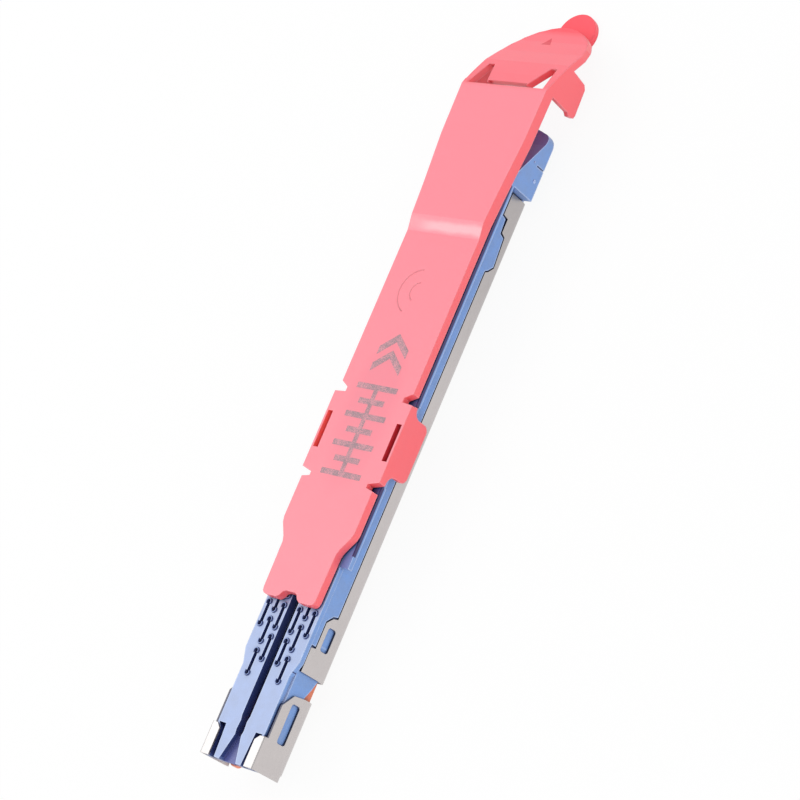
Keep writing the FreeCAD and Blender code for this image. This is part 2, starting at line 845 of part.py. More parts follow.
def ribs():
    """Ribs inside the rim that stand on the deck, broken at the notches."""
    first, second = CAP_NOTCHES
    inner = CAP_HALF - CAP_RIM
    spans = [
        (CAP_RIB_X[0], first[0] - 0.1),
        (first[3] + 0.1, second[0] - 0.1),
        (second[3] + 0.1, CAP_RIB_X[1]),
    ]
    z = (DECK_Z + CAP_GAP, CAP_TOP_Z - 0.5)
    return [box(x, (inner - CAP_RIB, inner + 0.05), z) for x in spans]


def thumb_tab():
    """Round tab at the front end and the web that carries it."""
    bottom = TAB_TOP_Z - TAB_THICKNESS
    disc = Part.makeCylinder(TAB_RADIUS, TAB_THICKNESS, V(TAB_X, 0, bottom))
    x = (TAB_X - TAB_WEB[0], TAB_X - TAB_WEB[0] + TAB_WEB[1])
    half = TAB_RADIUS - 0.25
    web = box(x, (-half, half), (bottom, CAP_FRONT_Z - 6.3))
    return [disc, web]


def retaining_cap():
    """Clip-on cap: rimmed plate, legs, ribs, fin, spring tongue and thumb tab."""
    k = CAP_KINK_X
    outer = plan_face(0).extrude(V(0, 0, 12))
    inner = plan_face(CAP_RIM).extrude(V(0, 0, 12))
    rim = outer.cut(inner).common(rim_band())
    shell = join([outer.common(cap_band(0, CAP_PLATE)), rim])
    fin = box(FIN_X, (-FIN_HALF, FIN_HALF), (DECK_Z - FIN_DEPTH, CAP_TOP_Z - 0.5))
    sides = both_sides([cap_leg(), front_leg()] + ribs())
    shape = join([shell, fin] + sides + thumb_tab())
    edge = (CAP_LEG_HALF - CAP_SLOT_Y[1], CAP_LEG_HALF - CAP_SLOT_Y[0])
    slot = box(CAP_SLOT_X, edge, (CAP_TOP_Z - 2, CAP_TOP_Z + 1))
    end = k + TONGUE_LENGTH
    flare = CAP_FLARE_HALF
    slit = [(k + 0.2, TONGUE_HALF), (k + 0.2, flare - 0.75), (end, flare - 1.3), (end, TONGUE_HALF + 1.5)]
    slit = plan_plate(slit, (CAP_FRONT_Z - 5, CAP_FRONT_Z + 1))
    gap = box((k + 0.2, k + 0.2 + TONGUE_GAP), (-TONGUE_HALF - 0.1, TONGUE_HALF + 0.1), (3, 9))
    return shape.cut(both_sides([slot, slit]) + [gap])


def save(name, shape):
    """Write one node in the frame of the part."""
    placed = shape.copy()
    placed.translate(FRAME_SHIFT)
    placed.exportStep("parts/" + name + ".step")


os.makedirs("parts", exist_ok=True)
save("cartridge_body", cartridge_body())
save("pan", pan())
save("sled", sled())
save("retaining_cap", retaining_cap())
for count in range(1, STATIONS + 1):
    save("drivers_%02d" % count, drivers(count))
    save("staples_%02d" % count, staples(count))
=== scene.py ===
"""Looks of a linear cutter reload: slotted body, sheet pan, sled, drivers, staples and cap.

Places are counted from the middle of the pan's proximal end, at its underside, which is read from
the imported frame. Lengths are in metres, written in millimetres times MM.
"""

from __future__ import annotations

import logging
import math
from dataclasses import dataclass
from enum import Enum
from typing import ClassVar, Sequence, Union

import bmesh
import bpy
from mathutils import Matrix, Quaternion, Vector

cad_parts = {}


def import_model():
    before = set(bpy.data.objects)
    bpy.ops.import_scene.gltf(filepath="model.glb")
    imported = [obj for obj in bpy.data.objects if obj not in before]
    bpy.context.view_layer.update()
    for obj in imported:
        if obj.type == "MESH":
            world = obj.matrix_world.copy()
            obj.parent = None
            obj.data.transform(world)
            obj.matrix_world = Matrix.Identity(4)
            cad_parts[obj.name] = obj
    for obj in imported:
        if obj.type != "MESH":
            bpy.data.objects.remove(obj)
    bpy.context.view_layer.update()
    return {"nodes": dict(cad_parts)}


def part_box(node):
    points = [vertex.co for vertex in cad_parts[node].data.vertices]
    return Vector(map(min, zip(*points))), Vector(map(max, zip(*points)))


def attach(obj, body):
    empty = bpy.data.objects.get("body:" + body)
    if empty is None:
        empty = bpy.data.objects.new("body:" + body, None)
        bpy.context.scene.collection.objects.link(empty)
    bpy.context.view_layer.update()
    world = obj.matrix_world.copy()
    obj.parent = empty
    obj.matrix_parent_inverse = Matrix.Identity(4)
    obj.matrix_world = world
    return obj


LOG = logging.getLogger("reload")
MM = 0.001

Colour = tuple[float, float, float]
Triple = tuple[float, float, float]
Rgba = tuple[float, float, float, float]
Point = tuple[float, float]

WHITE: Rgba = (1.0, 1.0, 1.0, 1.0)
SIDES = (-1.0, 1.0)

# The sRGB curve: a straight piece up to the knee, then a power.
FULL_CHANNEL = 255.0
KNEE = 0.04045
KNEE_SLOPE = 12.92
CURVE_OFFSET = 0.055
CURVE_POWER = 2.4

# Middle of a noise's values, and the octaves of a fine one.
MEAN_NOISE = 0.5
FINE = 3.0

# Samples of the nodes that look round a point.
SKY_SAMPLES = 8
BEVEL_SAMPLES = 6


class Slot(Enum):
    """Names of the body's and the cap's plastic material slots."""

    BODY = "body_plastic"
    CAP = "cap_plastic"


class Rider(Enum):
    """Bodies that new pieces ride on."""

    CARTRIDGE = "cartridge"
    CAP = "cap"


def linear(colour: Colour) -> Rgba:
    """Turn a colour as it is seen, 0 to 255, into a linear one.

    Args:
        colour: Red, green and blue as on a screen.

    Returns:
        Linear red, green, blue and an alpha of 1.
    """

    def channel(value: float) -> float:
        """Linear share of one channel."""
        share = value / FULL_CHANNEL
        if share <= KNEE:
            return share / KNEE_SLOPE
        return ((share + CURVE_OFFSET) / (1.0 + CURVE_OFFSET)) ** CURVE_POWER

    return (*(channel(c) for c in colour), 1.0)


class Wire:
    """An output socket whose arithmetic adds nodes to its graph."""

    def __init__(self, graph: Graph, socket: bpy.types.NodeSocket) -> None:
        """Wrap a socket of a graph."""
        self.graph = graph
        self.socket = socket

    @property
    def is_vector(self) -> bool:
        """Whether the socket carries three numbers."""
        return self.socket.type in {"VECTOR", "RGBA"}

    def _combine(self, operation: str, first: Value, second: Value) -> Wire:
        """Add a Math or Vector Math node.

        Args:
            operation: The node's operation.
            first: Left operand.
            second: Right operand.

        Returns:
            The result's wire.
        """
        kind = "ShaderNodeMath"
        if any(isinstance(v, Wire) and v.is_vector for v in (first, second)):
            kind = "ShaderNodeVectorMath"
            first, second = ((v, v, v) if isinstance(v, float) else v for v in (first, second))
        return self.graph.add(kind, {"operation": operation}, {0: first, 1: second})

    def __add__(self, other: Value) -> Wire:
        """Sum."""
        return self._combine("ADD", self, other)

    def __radd__(self, other: Value) -> Wire:
        """Sum with the wire on the right."""
        return self._combine("ADD", other, self)

    def __sub__(self, other: Value) -> Wire:
        """Difference."""
        return self._combine("SUBTRACT", self, other)

    def __rsub__(self, other: Value) -> Wire:
        """Difference with the wire on the right."""
        return self._combine("SUBTRACT", other, self)

    def __mul__(self, other: Value) -> Wire:
        """Product."""
        return self._combine("MULTIPLY", self, other)

    def __rmul__(self, other: Value) -> Wire:
        """Product with the wire on the right."""
        return self._combine("MULTIPLY", other, self)

    def __truediv__(self, other: Value) -> Wire:
        """Quotient."""
        return self._combine("DIVIDE", self, other)

    def above(self, limit: float) -> Wire:
        """1 where the wire is over the limit, 0 elsewhere."""
        return self._combine("GREATER_THAN", self, limit)

    def below(self, limit: float) -> Wire:
        """1 where the wire is under the limit, 0 elsewhere."""
        return self._combine("LESS_THAN", self, limit)

    def within(self, low: float, high: float) -> Wire:
        """1 between two limits, 0 elsewhere."""
        return self.above(low) * self.below(high)

    def at_most(self, limit: float) -> Wire:
        """The wire, cut off over the limit."""
        return self._combine("MINIMUM", self, limit)

    def size(self) -> Wire:
        """The wire without its sign."""
        return self._combine("ABSOLUTE", self, 0.0)

    def ease(self, low: float, high: float) -> Wire:
        """Smooth step from 0 at low to 1 at high.

        Args:
            low: Where the step starts.
            high: Where it ends.

        Returns:
            The step's wire.
        """
        values = {"Value": self, "From Min": low, "From Max": high}
        return self.graph.add("ShaderNodeMapRange", {"interpolation_type": "SMOOTHSTEP"}, values)


Value = Union[float, Triple, Wire]


class Graph:
    """Node tree of one material or world."""

    # The Mix node numbers its sockets for colours like this.
    mix_factor: ClassVar[int] = 0
    mix_first: ClassVar[int] = 6
    mix_second: ClassVar[int] = 7
    mix_result: ClassVar[int] = 2
    noise_roughness: ClassVar[float] = 0.55
    ridge_likeness: ClassVar[Point] = (0.90, 0.995)

    def __init__(self, owner: Union[bpy.types.Material, bpy.types.World]) -> None:
        """Empty the owner's node tree.

        Args:
            owner: A material or world, which then uses nodes.
        """
        owner.use_nodes = True
        self.tree = owner.node_tree
        self.tree.nodes.clear()

    def node(self, kind: str, settings: dict, values: dict) -> bpy.types.Node:
        """Add a node.

        Args:
            kind: The node's type.
            settings: Properties set before the sockets.
            values: Socket name or number to a value or a wire.

        Returns:
            The new node.
        """
        made = self.tree.nodes.new(kind)
        for name, setting in settings.items():
            setattr(made, name, setting)
        for key, value in values.items():
            if isinstance(value, Wire):
                self.tree.links.new(value.socket, made.inputs[key])
            else:
                made.inputs[key].default_value = value
        return made

    def add(self, kind: str, settings: dict, values: dict, output: Union[int, str] = 0) -> Wire:
        """Add a node and wrap one of its outputs.

        Args:
            kind: The node's type.
            settings: Properties set before the sockets.
            values: Socket name or number to a value or a wire.
            output: Name or number of the output to wrap.

        Returns:
            The output's wire.
        """
        return Wire(self, self.node(kind, settings, values).outputs[output])

    def blend(self, share: Value, first: Union[Wire, Rgba], second: Union[Wire, Rgba]) -> Wire:
        """Mix two colours.

        Args:
            share: 0 gives the first colour, 1 the second.
            first: Colour or wire.
            second: Colour or wire.

        Returns:
            The mixed colour's wire.
        """
        values = {self.mix_factor: share, self.mix_first: first, self.mix_second: second}
        return self.add("ShaderNodeMix", {"data_type": "RGBA"}, values, self.mix_result)

    def place(self) -> Wire:
        """Coordinates that stay with the piece, in metres."""
        return self.add("ShaderNodeTexCoord", {}, {}, "Object")

    def axes(self, origin: Vector) -> tuple[Wire, Wire, Wire]:
        """Distances from a point along x, y and z.

        Args:
            origin: The point, in the piece's own coordinates.

        Returns:
            One wire for each axis.
        """
        parts = self.node("ShaderNodeSeparateXYZ", {}, {0: self.place()})
        x, y, z = (Wire(self, output) for output in parts.outputs)
        return x - origin.x, y - origin.y, z - origin.z

    def upness(self) -> Wire:
        """How far the surface faces up, from -1 to 1."""
        normal = self.add("ShaderNodeTexCoord", {}, {}, "Normal")
        return self.add("ShaderNodeSeparateXYZ", {}, {0: normal}, "Z")

    def noise(self, size: float, stretch: Triple = (1.0, 1.0, 1.0), detail: float = 2.0) -> Wire:
        """Noise about 0.5 with features of a given size.

        Args:
            size: Feature size in metres.
            stretch: Factor by which the features are drawn out along each axis.
            detail: Octaves of finer noise.

        Returns:
            The noise's wire.
        """
        scale = tuple(1.0 / (size * s) for s in stretch)
        return self.add("ShaderNodeTexNoise", {}, {
            "Vector": self.place() * scale,
            "Scale": 1.0,
            "Detail": detail,
            "Roughness": self.noise_roughness,
        })

    def openness(self, reach: float, low: float, high: float) -> Wire:
        """1 on open faces, 0 deep in a hollow or close beside another face.

        Args:
            reach: Distance in metres over which walls shade the surface.
            low: Share of open sky below which the result is 0.
            high: Share above which it is 1.

        Returns:
            The openness' wire.
        """
        settings = {"samples": SKY_SAMPLES}
        sky = self.add("ShaderNodeAmbientOcclusion", settings, {"Distance": reach}, "AO")
        return sky.ease(low, high)

    def rounded(self, radius: float) -> Wire:
        """Normal of the surface with its edges rounded by a radius in metres."""
        return self.add("ShaderNodeBevel", {"samples": BEVEL_SAMPLES}, {"Radius": radius})

    def ridge(self, radius: float) -> Wire:
        """1 along sharp edges, 0 on flat faces.

        Args:
            radius: Width of the line in metres.

        Returns:
            The line's wire.
        """
        flat = self.add("ShaderNodeNewGeometry", {}, {}, "Normal")
        normals = {0: self.rounded(radius), 1: flat}
        likeness = self.add("ShaderNodeVectorMath", {"operation": "DOT_PRODUCT"}, normals, "Value")
        return 1.0 - likeness.ease(*self.ridge_likeness)

    def close(self, shader: bpy.types.Node, output: str = "ShaderNodeOutputMaterial") -> None:
        """Link a shader node to the tree's output.

        Args:
            shader: The last shader node.
            output: The output node's type.
        """
        end = self.tree.nodes.new(output)
        self.tree.links.new(shader.outputs[0], end.inputs["Surface"])

    def relief(self, height: Wire, depth: float, edge: float) -> Wire:
        """Normal with rounded edges and a fine relief.

        Args:
            height: Relief, 0 to 1.
            depth: Depth of the relief in metres.
            edge: Radius by which edges look rounded, in metres.

        Returns:
            The normal's wire.
        """
        return self.add("ShaderNodeBump", {}, {
            "Height": height,
            "Distance": depth,
            "Strength": 1.0,
            "Normal": self.rounded(edge),
        })


def new_material(name: str) -> tuple[bpy.types.Material, Graph]:
    """Make a material with an empty graph.

    Args:
        name: The material's name.

    Returns:
        The material and its graph.
    """
    material = bpy.data.materials.new(name)
    return material, Graph(material)


@dataclass(frozen=True)
class Finish:
    """A material of one principled shader."""

    name: str

    def sockets(self, graph: Graph) -> dict:
        """Values and wires of the shader's sockets.

        Args:
            graph: The material's graph.
        """
        raise NotImplementedError

    def build(self) -> bpy.types.Material:
        """Make the material."""
        material, graph = new_material(self.name)
        graph.close(graph.node("ShaderNodeBsdfPrincipled", {}, self.sockets(graph)))
        return material


@dataclass(frozen=True)
class MouldedPlastic(Finish):
    """Moulded plastic whose upper faces are painted paler than its sides, a painted sheen of the
    lamp above.

    Attributes:
        side: Colour of upright faces.
        lit_top: Colour of faces that look up: the plastic with a painted sheen of the lamp above.
        roughness: Mean roughness.
        mottle: Strength of the cloudy change of colour.
        mottle_size: Size of its clouds.
        grain_size: Size of the moulded grain.
        grain_depth: Depth of the grain.
        edge: Radius by which edges look rounded.
        grain_gloss: Change of roughness with the grain.
        mottle_gloss: Change of roughness with the clouds.
        up_range: Upness over which the side's colour turns into the painted sheen of the upper
            faces.
        steep_range: Upness over which a painted place counts as a wall or a floor.
        level: Upness over which a face counts as level.
        refraction: Index of refraction.
        translucency: Share of light that scatters below the surface.
        scatter: Reach of red, green and blue below the surface.
        scatter_depth: Its scale.
        recess_shade: Painted shade, the colour deep in recesses and close beside other faces.
        recess_reach: Distance over which walls cast that painted shade.
        recess_range: Openness over which the painted shade fades out.
        origin: Point from which painted places are measured.
        edge_highlight: Colour of the painted highlight along sharp edges.
        highlight_width: Width of that painted highlight.
        highlight_share: Its strength. 0 leaves it out.
    """

    side: Colour
    lit_top: Colour
    roughness: float = 0.38
    mottle: float = 0.06
    mottle_size: float = 2.5 * MM
    grain_size: float = 0.16 * MM
    grain_depth: float = 0.004 * MM
    edge: float = 0.08 * MM
    grain_gloss: float = 0.12
    mottle_gloss: float = 0.08
    up_range: Point = (0.75, 0.98)
    steep_range: Point = (0.4, 0.7)
    level: float = 0.9
    refraction: float = 1.5
    translucency: float = 0.0
    scatter: Triple = (1.0, 0.35, 0.35)
    scatter_depth: float = 0.8 * MM
    recess_shade: Colour = (28, 40, 88)
    recess_reach: float = 1.3 * MM
    recess_range: Point = (0.2, 0.62)
    origin: Vector = Vector()
    edge_highlight: Colour = (200, 216, 246)
    highlight_width: float = 0.28 * MM
    highlight_share: float = 0.0

    def paint(self, graph: Graph, base: Wire) -> Wire:
        """Colour the places that differ from the rest.

        Args:
            graph: The material's graph.
            base: Colour so far.

        Returns:
            The colour with those places.
        """
        return base

    def sockets(self, graph: Graph) -> dict:
        """Values and wires of the shader's sockets."""
        # Painted sheen: faces that look up are painted paler than the sides.
        lit_share = graph.upness().ease(*self.up_range)
        cloud = graph.noise(self.mottle_size) - MEAN_NOISE
        bumps = graph.noise(self.grain_size, detail=FINE)
        grain = bumps - MEAN_NOISE
        faces = graph.blend(lit_share, linear(self.side), linear(self.lit_top))
        # Painted highlight: a pale line along sharp edges.
        if self.highlight_share:
            lines = graph.ridge(self.highlight_width) * self.highlight_share
            faces = graph.blend(lines, faces, linear(self.edge_highlight))
        # Painted shade: deep in recesses and close beside other faces the colour darkens.
        openness = graph.openness(self.recess_reach, *self.recess_range)
        base = graph.blend(openness, linear(self.recess_shade), self.paint(graph, faces))
        shade = graph.add("ShaderNodeHueSaturation", {}, {
            "Value": 1.0 + cloud * (2.0 * self.mottle) + grain * self.mottle,
            "Saturation": 1.0 + cloud * self.mottle,
            "Color": base,
        })
        return {
            "Base Color": shade,
            "Roughness": self.roughness + grain * self.grain_gloss + cloud * self.mottle_gloss,
            "Normal": graph.relief(bumps, self.grain_depth, self.edge),
            "IOR": self.refraction,
            "Subsurface Weight": self.translucency,
            "Subsurface Radius": self.scatter,
            "Subsurface Scale": self.scatter_depth,
        }


@dataclass(frozen=True)
class BodyPlastic(MouldedPlastic):
    """Blue plastic with painted shade: navy in the slot, the pockets and the grooves.

    Each painted place has a colour and limits of x, z and "half", the distance from the middle.

    Attributes:
        inside_shade: Painted shade on the walls of slot and pockets.
        inside_half: Its limit at the proximal end and beyond inside_widens.
        funnel_shade: Painted shade in the slot's wide mouth.
        groove_shade: Painted shade on the floors of the grooves beside the mouth.
        ledge_shade: Painted shade on the tops of the ledges on the sides, under the cap.
        brim: Colour of the deck's edge, which lies in the cap's shade.
        end: Painted shade on the proximal end face.
        ramp_shade_and_reflection: Painted shade and painted pink reflection of the cap on the
            nose's slope.
    """

    inside_shade: Colour = (50, 64, 118)
    inside_half: Point = (3.68 * MM, 4.02 * MM)
    inside_widens: float = 12.0 * MM
    inside_x: Point = (0.3 * MM, 76.0 * MM)
    funnel_shade: Colour = (92, 98, 158)
    funnel_half: float = 1.62 * MM
    funnel_x: float = 3.4 * MM
    funnel_z: Point = (4.9 * MM, 5.4 * MM)
    groove_shade: Colour = (92, 92, 112)
    groove_x: float = 4.4 * MM
    ledge_shade: Colour = (112, 138, 200)
    ledge_half: float = 4.4 * MM
    ledge_x: Point = (24.0 * MM, 72.0 * MM)
    brim: Colour = (54, 48, 100)
    brim_half: float = 5.5 * MM
    brim_z: Point = (5.48 * MM, 5.64 * MM)
    brim_x: Point = (27.0 * MM, 76.0 * MM)
    end: Colour = (74, 92, 146)
    ramp_shade_and_reflection: Colour = (112, 116, 184)
    ramp_x: float = 76.3 * MM

    def paint(self, graph: Graph, base: Wire) -> Wire:
        """Paint shade on the openings' walls, the slot's mouth, the grooves, the ledges, the
        deck's edge and the proximal end face, and shade with the cap's reflection on the nose's
        slope.
        """
        x, y, z = graph.axes(self.origin)
        out = y.size()
        up = graph.upness().ease(*self.steep_range)
        narrow, wide = self.inside_half
        half = x.above(self.inside_widens) * (wide - narrow) + narrow
        # Painted shade on the walls of the slot and the pockets.
        inside_shade = (1.0 - up) * (half - out).above(0.0) * x.within(*self.inside_x)
        # Painted shade in the slot's wide mouth.
        floor = out.below(self.funnel_half) * x.below(self.funnel_x) * z.within(*self.funnel_z)
        # Painted shade on the grooves' floors beside the mouth.
        groove_shade = out.above(self.funnel_half) * x.below(self.groove_x)
        groove_shade = groove_shade * z.below(self.funnel_z[1]) * up
        # Painted shade on the ledges' tops, under the cap.
        ledge_shade = up * out.above(self.ledge_half) * x.within(*self.ledge_x)
        brim = z.ease(*self.brim_z) * out.above(self.brim_half) * x.within(*self.brim_x)
        # Painted shade on the proximal end face.
        end = x.below(self.inside_x[0]) * (1.0 - up)
        # Painted shade and painted reflection of the pink cap on the nose's slope.
        ramp_shade_and_reflection = x.above(self.ramp_x) * up
        for share, colour in ((inside_shade, self.inside_shade), (groove_shade, self.groove_shade), (floor, self.funnel_shade),
                              (ledge_shade, self.ledge_shade), (brim, self.brim), (end, self.end),
                              (ramp_shade_and_reflection, self.ramp_shade_and_reflection)):
            base = graph.blend(share, base, linear(colour))
        return base


@dataclass(frozen=True)
class CapPlastic(MouldedPlastic):
    """Pink plastic, deeper red in the thick thumb tab and painted shade there, with painted shade
    on the slope before it and the dimple, painted light and shade on the side slots' walls and a
    painted highlight on the plate's step.

    Each painted place has a colour and limits of x and y.

    Attributes:
        tab: Deeper red of the thumb tab, partly the thick plastic's stronger colour and partly
            painted shade.
        slope: Painted shade on the slope before the tab, which faces away from the lamps.
        near_slot_shade: Painted shade on the walls of the side slot on the right of the reload.
        far_slot_light: Painted light on the same walls on the left.
        step: Colour of the painted highlight on the plate's step.
        step_edge: Distance over which the line fades in and out along x.
        step_fade: Limits of y over which it fades.
        step_fade_share: How much it fades there.
        step_wander: How far the line strays along x.
        step_wander_size: Size of its strays.
        dimple: Painted shade that stands for the triangular dimple's hollow.
        dimple_y: The dimple's middle.
        dimple_half: Half its width.
        halo: Colour of the plate round the print.
        halo_x: Its middle and its half length.
        halo_half: Its half width.
        halo_soft: Share of it over which it fades out.
        halo_share: Its strength.
        sloped: Upness over which a face belongs to the slope.
    """

    tab: Colour = (250, 84, 98)
    tab_x: Point = (98.2 * MM, 99.4 * MM)
    slope: Colour = (248, 110, 123)
    slope_x: Point = (87.6 * MM, 88.6 * MM)
    near_slot_shade: Colour = (212, 58, 70)
    far_slot_light: Colour = (255, 112, 108)
    slot_x: Point = (38.55 * MM, 43.45 * MM)
    slot_y: Point = (5.15 * MM, 6.02 * MM)
    step: Colour = (255, 172, 180)
    step_x: Point = (67.9 * MM, 69.7 * MM)
    step_edge: float = 0.7 * MM
    step_fade: Point = (1.5 * MM, 5.0 * MM)
    step_fade_share: float = 0.8
    step_wander: float = 0.8 * MM
    step_wander_size: float = 4.0 * MM
    dimple: Colour = (226, 58, 76)
    dimple_x: Point = (96.6 * MM, 97.9 * MM)
    dimple_y: float = 0.8 * MM
    dimple_half: float = 0.75 * MM
    halo: Colour = (226, 124, 140)
    halo_x: Point = (44.0 * MM, 12.0 * MM)
    halo_half: float = 4.6 * MM
    halo_soft: float = 0.7
    halo_share: float = 0.5
    sloped: float = 0.5

    def paint(self, graph: Graph, base: Wire) -> Wire:
        """Paint the tab's deeper red, shade on the slope and the dimple, light and shade on the
        slots' walls, a highlight on the step, and colour the plate round the print.
        """
        x, y, _ = graph.axes(self.origin)
        up = graph.upness()
        level = up.above(self.level)
        tilted = up.above(self.sloped)
        # Painted highlight: a pale band across the plate's step.
        wander = (graph.noise(self.step_wander_size) - MEAN_NOISE) * self.step_wander
        low, high = self.step_x
        band = (x + wander).ease(low, low + self.step_edge)
        band = band * (1.0 - (x + wander).ease(high - self.step_edge, high)) * level
        band = band * (1.0 - y.ease(*self.step_fade) * self.step_fade_share)
        walls = 1.0 - up.ease(*self.steep_range)
        walls = walls * x.within(*self.slot_x) * y.size().within(*self.slot_y)
        # Painted shade on the slope, which faces away from the lamps.
        slope = x.ease(*self.slope_x) * tilted
        # Painted shade that stands for the triangular dimple's hollow.
        start, stop = self.dimple_x
        reach = (stop - x) * (self.dimple_half / (stop - start))
        dimple = x.above(start) * (reach - (y - self.dimple_y).size()).above(0.0)
        along = (x - self.halo_x[0]) / self.halo_x[1]
        across = y / self.halo_half
        halo = (1.0 - along * along - across * across).ease(0.0, self.halo_soft)
        halo = halo * self.halo_share * level
        # Painted light and shade on the side slots' walls: lit on the left, shaded on the right.
        slot = graph.blend(y.above(0.0), linear(self.near_slot_shade), linear(self.far_slot_light))
        base = graph.blend(halo, base, linear(self.halo))
        base = graph.blend(band, base, linear(self.step))
        base = graph.blend(slope, base, linear(self.slope))
        base = graph.blend(dimple * tilted, base, linear(self.dimple))
        # Deeper red on the thumb tab: the thick plastic's stronger colour, and painted shade.
        base = graph.blend(x.ease(*self.tab_x), base, linear(self.tab))
        return graph.blend(walls, base, slot)


@dataclass(frozen=True)
class RolledSteel(Finish):
    """Rolled stainless sheet with a grain along the pan and fine pitting.

    Attributes:
        base: Colour of the sheet's faces.
        cut: Dark colour of its cut edges, also painted as shade in narrow gaps.
        flange_shade: Colour of the flanges' tops, painted darker than the sheet to hold back the
            lamp's reflection.
        flange_z: Height over which a face belongs to the flanges.
        dim: How much darker the sheet gets toward the nose.
        dim_x: Where that starts and ends.
        metal: Metallic share.
        roughness: Mean roughness.
        grain_width: Width of the rolling lines.
        grain_stretch: Their length over their width.
        grain_tint: Change of colour and roughness with the lines.
        grain_depth: Their depth.
        cloud_size: Size of the sheet's clouds.
        cloud_tint: Change of colour and roughness with the clouds.
        pit_size: Size of the pits.
        pit_range: Noise over which a pit starts and is full.
        pit_tint: How dark the pits are.
        up_range: Upness over which a face counts as a cut edge.
        gap_reach: Distance over which painted shade darkens a gap.
        gap_range: Openness over which that fades out.
        edge: Radius by which edges look rounded.
        origin: Point from which places are measured.
    """

    name: str = "rolled_steel"
    base: Colour = (201, 195, 194)
    cut: Colour = (84, 84, 94)
    flange_shade: Colour = (182, 179, 178)
    flange_z: float = 6.2 * MM
    dim: float = 0.2
    dim_x: Point = (45.0 * MM, 74.0 * MM)
    metal: float = 0.92
    roughness: float = 0.36
    grain_width: float = 0.05 * MM
    grain_stretch: float = 26.0
    grain_tint: float = 0.16
    grain_depth: float = 0.003 * MM
    cloud_size: float = 3.0 * MM
    cloud_tint: float = 0.10
    pit_size: float = 0.12 * MM
    pit_range: Point = (0.66, 0.74)
    pit_tint: float = 0.10
    up_range: Point = (0.6, 0.9)
    gap_reach: float = 0.9 * MM
    gap_range: Point = (0.1, 0.5)
    edge: float = 0.06 * MM
    origin: Vector = Vector()

    def sockets(self, graph: Graph) -> dict:
        """Values and wires of the shader's sockets."""
        lines = graph.noise(self.grain_width, (self.grain_stretch, 1.0, 1.0), FINE)
        grain = lines - MEAN_NOISE
        cloud = graph.noise(self.cloud_size) - MEAN_NOISE
        pits = graph.noise(self.pit_size, detail=1.0).ease(*self.pit_range)
        tint = 1.0 + grain * self.grain_tint + cloud * self.cloud_tint - pits * self.pit_tint
        along, _, height = graph.axes(self.origin)
        tint = tint - along.ease(*self.dim_x) * self.dim
        up = graph.upness().ease(*self.up_range)
        edges = graph.blend(up, linear(self.base), linear(self.cut))
        # Painted shade on the flanges' tops, which holds back the lamp's reflection.
        faces = graph.blend(up * height.above(self.flange_z), edges, linear(self.flange_shade))
        # Painted shade: narrow gaps darken to the dark edge colour.
        near = graph.openness(self.gap_reach, *self.gap_range)
        faces = graph.blend(near, linear(self.cut), faces)
        base = graph.add("ShaderNodeHueSaturation", {}, {"Value": tint, "Color": faces})
        return {
            "Base Color": base,
            "Metallic": self.metal,
            "Roughness": self.roughness + grain * self.grain_tint + cloud * self.cloud_tint,
            "Normal": graph.relief(lines, self.grain_depth, self.edge),
        }


@dataclass(frozen=True)
class DrawnWire(Finish):
    """Drawn titanium wire of the staples."""

    name: str = "drawn_wire"
    base: Colour = (178, 176, 174)
    roughness: float = 0.3
    line_width: float = 0.03 * MM
    line_stretch: float = 12.0
    line_tint: float = 0.2
    line_gloss: float = 0.15
    line_depth: float = 0.002 * MM
    edge: float = 0.03 * MM

    def sockets(self, graph: Graph) -> dict:
        """Values and wires of the shader's sockets."""
        lines = graph.noise(self.line_width, (1.0, 1.0, self.line_stretch))
        base = graph.add("ShaderNodeHueSaturation", {}, {
            "Value": 1.0 + (lines - MEAN_NOISE) * self.line_tint,
            "Color": linear(self.base),
        })
        return {
            "Base Color": base,
            "Metallic": 1.0,
            "Roughness": self.roughness + (lines - MEAN_NOISE) * self.line_gloss,
            "Normal": graph.relief(lines, self.line_depth, self.edge),
        }


@dataclass(frozen=True)
class SpeckledInk(Finish):
    """Grey pad-printed ink, through which the cap's plastic shows in specks."""

    name: str = "speckled_ink"
    ink: Colour = (146, 124, 131)
    gap: Colour = (214, 146, 156)
    speck: float = 0.11 * MM
    speck_range: Point = (0.42, 0.62)
    cloud_size: float = 0.9 * MM
    cloud_share: float = 0.35
    roughness: float = 0.5
    speck_gloss: float = 0.2
    speck_depth: float = 0.003 * MM
    edge: float = 0.01 * MM

    def sockets(self, graph: Graph) -> dict:
        """Values and wires of the shader's sockets."""
        specks = graph.noise(self.speck, detail=FINE)
        cloud = graph.noise(self.cloud_size) - MEAN_NOISE
        cover = (specks + cloud * self.cloud_share).ease(*self.speck_range)
        return {
            "Base Color": graph.blend(cover, linear(self.ink), linear(self.gap)),
            "Roughness": self.roughness + (specks - MEAN_NOISE) * self.speck_gloss,
            "Normal": graph.relief(specks, self.speck_depth, self.edge),
        }


